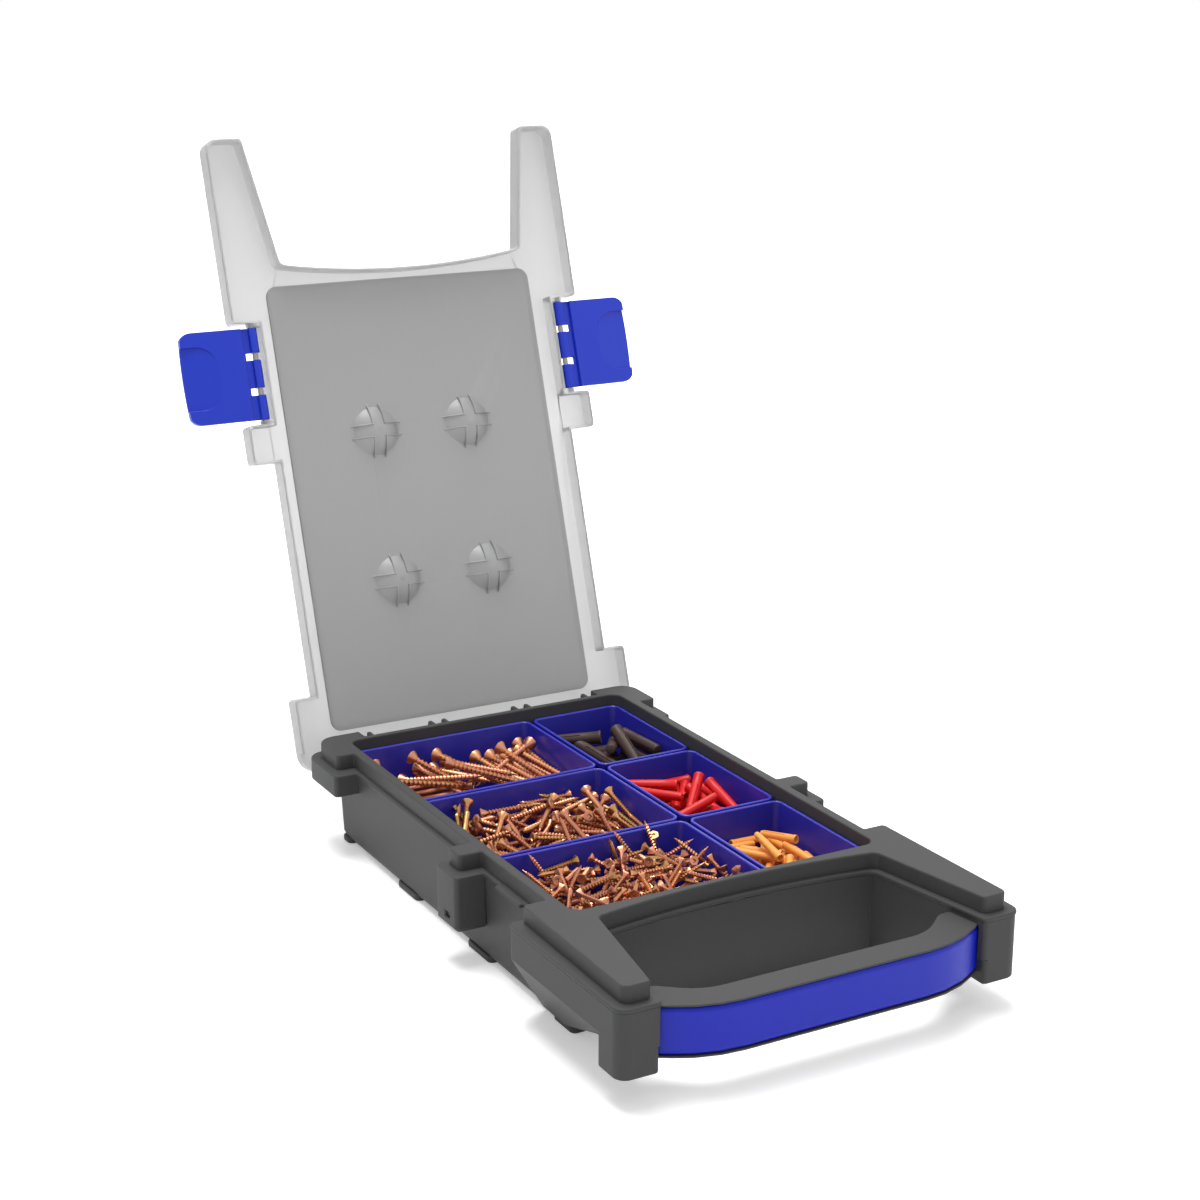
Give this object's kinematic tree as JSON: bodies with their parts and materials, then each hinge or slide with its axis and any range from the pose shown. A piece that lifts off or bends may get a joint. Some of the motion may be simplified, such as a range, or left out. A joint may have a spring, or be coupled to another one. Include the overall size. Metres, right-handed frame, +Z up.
{
  "type": "small parts carry case",
  "caption": "Carry case for screws and wall plugs: grey tray with a fixed handle, clear hinged lid with side latches, lift-out bins.",
  "frame": {"origin": "on the floor, below the middle of the whole open object", "axes": "+Z up, +X to the right, -Y towards the carry handle, +Y towards the lid's hinge"},
  "size_m": [0.355, 0.6132, 0.4734],
  "materials": {
    "grey_plastic": "fine spark-eroded satin, dark grey",
    "blue_grip": "satin blue, bare",
    "steel": "drawn rod",
    "clear_plastic": "frosted translucent",
    "pin_plastic": "beige-grey translucent",
    "latch_blue": "satin blue",
    "bin_blue": "semi-gloss dark blue",
    "screw_metal": "yellow zinc, coppery with green tints",
    "plugs_brown": "nylon",
    "plugs_red": "nylon",
    "plugs_orange": "nylon"
  },
  "bodies": {
    "case": {"base_tray": "grey_plastic", "handle_grip": "blue_grip", "hinge_pin_left": "steel", "hinge_pin_right": "steel"},
    "lid": {"lid": "clear_plastic", "latch_pin_left": "pin_plastic", "latch_pin_right": "pin_plastic"},
    "latch_left": {"latch_left": "latch_blue"},
    "latch_right": {"latch_right": "latch_blue"},
    "bin_large_back": {"bin_large_back": "bin_blue", "screws_large": "screw_metal"},
    "bin_large_middle": {"bin_large_middle": "bin_blue", "screws_medium": "screw_metal"},
    "bin_large_front": {"bin_large_front": "bin_blue", "screws_small": "screw_metal"},
    "bin_small_back": {"bin_small_back": "bin_blue", "plugs_brown": "plugs_brown"},
    "bin_small_middle": {"bin_small_middle": "bin_blue", "plugs_red": "plugs_red"},
    "bin_small_front": {"bin_small_front": "bin_blue", "plugs_orange": "plugs_orange"}
  },
  "joints": [
    {"name": "lid_hinge", "type": "hinge", "parent": "case", "child": "lid", "pos_m": [0, 0.14687, 0.0538], "axis": [-1, 0, 0], "range_deg": [-108.2, 0]},
    {"name": "latch_left_hinge", "type": "hinge", "parent": "lid", "child": "latch_left", "pos_m": [-0.1221, 0.24522, 0.31389], "axis": [0, -0.3123, -0.95], "range_deg": [-90, 0]},
    {"name": "latch_right_hinge", "type": "hinge", "parent": "lid", "child": "latch_right", "pos_m": [0.1221, 0.24522, 0.31389], "axis": [0, 0.3123, 0.95], "range_deg": [-90, 0]},
    {"name": "bin_large_back_lift", "type": "slide", "parent": "case", "child": "bin_large_back", "axis": [0, 0, 1], "range_m": [0, 0.12]},
    {"name": "bin_large_middle_lift", "type": "slide", "parent": "case", "child": "bin_large_middle", "axis": [0, 0, 1], "range_m": [0, 0.12]},
    {"name": "bin_large_front_lift", "type": "slide", "parent": "case", "child": "bin_large_front", "axis": [0, 0, 1], "range_m": [0, 0.12]},
    {"name": "bin_small_back_lift", "type": "slide", "parent": "case", "child": "bin_small_back", "axis": [0, 0, 1], "range_m": [0, 0.12]},
    {"name": "bin_small_middle_lift", "type": "slide", "parent": "case", "child": "bin_small_middle", "axis": [0, 0, 1], "range_m": [0, 0.12]},
    {"name": "bin_small_front_lift", "type": "slide", "parent": "case", "child": "bin_small_front", "axis": [0, 0, 1], "range_m": [0, 0.12]}
  ]
}
